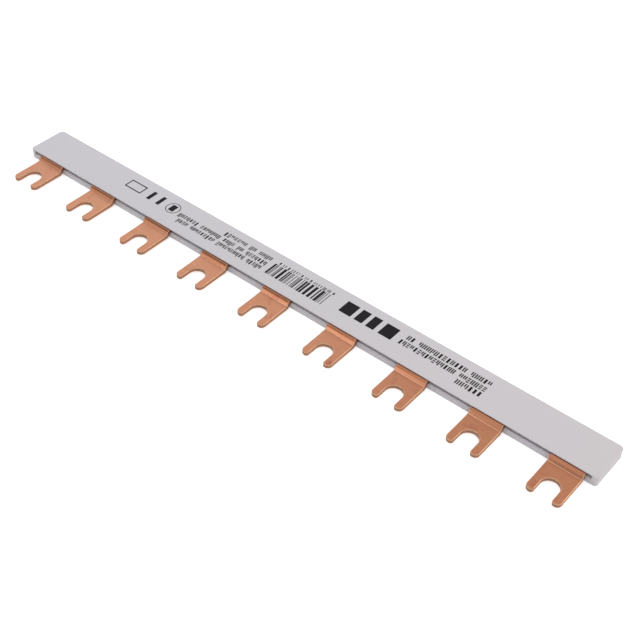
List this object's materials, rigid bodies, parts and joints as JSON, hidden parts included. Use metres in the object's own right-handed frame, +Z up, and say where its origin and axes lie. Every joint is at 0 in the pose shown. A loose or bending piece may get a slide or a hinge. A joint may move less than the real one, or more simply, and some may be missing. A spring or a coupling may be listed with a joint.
{
  "type": "comb busbar",
  "caption": "Single-phase comb busbar: a copper comb with fork-ended tongues, punched and set down from one sheet, held in a slim slotted insulating housing.",
  "frame": {"origin": "middle of the housing's underside", "axes": "+X along the bar, -Y from the housing towards the fork tips, +Z up from the surface it lies on"},
  "size_m": [0.237, 0.0286, 0.0038],
  "materials": {
    "housing_plastic": "light grey moulded plastic with a fine satin texture",
    "copper": "bare rolled copper with sheared edges",
    "print_ink": "thin dark grey marking ink on the housing's top"
  },
  "bodies": {
    "root": {"insulating_housing": "housing_plastic", "copper_comb": "copper"}
  },
  "joints": []
}
